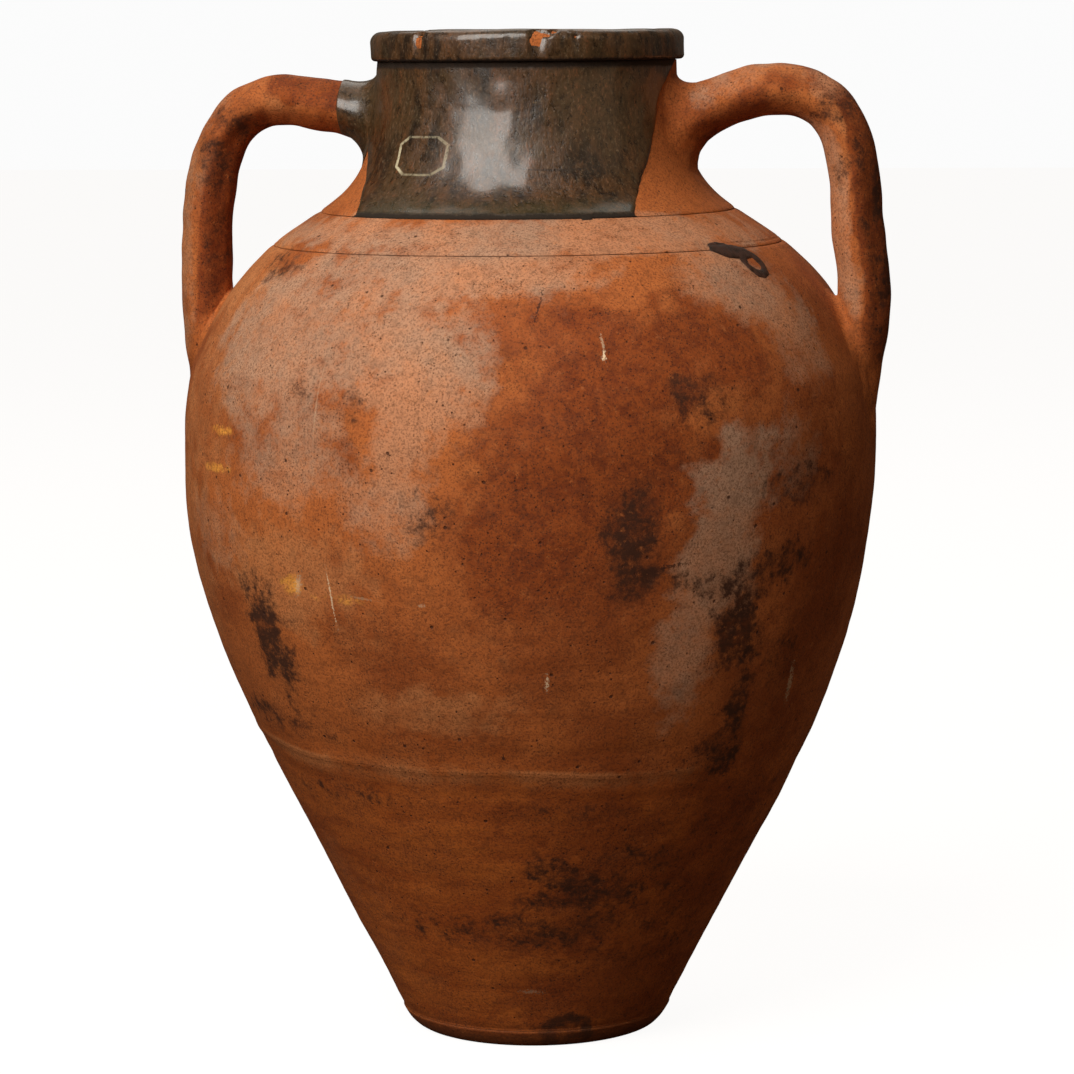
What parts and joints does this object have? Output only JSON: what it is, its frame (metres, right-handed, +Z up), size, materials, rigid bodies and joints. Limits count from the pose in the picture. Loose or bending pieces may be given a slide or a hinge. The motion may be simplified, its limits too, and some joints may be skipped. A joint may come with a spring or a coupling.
{
  "type": "amphora",
  "caption": "Two-handled terracotta storage jar with a wide belly, a tapering foot, a collared neck and dark glaze at the mouth.",
  "frame": {"origin": "middle of the foot's flat underside, on the ground", "axes": "+Z up along the jar's axis; the handles lie along X, the nearer and slightly higher one at +X; the glazed side of the neck faces -Y"},
  "size_m": [0.3619, 0.3452, 0.5],
  "materials": {
    "terracotta": "matte fired clay, stained and worn",
    "worn_clay": "matte fired clay, browned and scuffed",
    "raw_clay": "rough unglazed clay, inside",
    "glaze": "dark brown glossy glaze"
  },
  "bodies": {
    "root": {"floor_slab": "worn_clay", "floor_coil": "raw_clay", "lower_wall": "worn_clay", "seam_coil": "raw_clay", "belly_wall": "terracotta", "shoulder": "terracotta", "neck_coil": "raw_clay", "neck": "terracotta", "lip": "terracotta", "lip_glaze": "glaze", "neck_glaze": "glaze", "handle_root_glaze": "glaze", "shoulder_glaze_splash": "glaze", "handle_left": "terracotta", "handle_left_neck_wad": "terracotta", "handle_left_tail_wad": "terracotta", "handle_right": "terracotta", "handle_right_neck_wad": "terracotta", "handle_right_tail_wad": "terracotta"}
  },
  "joints": []
}
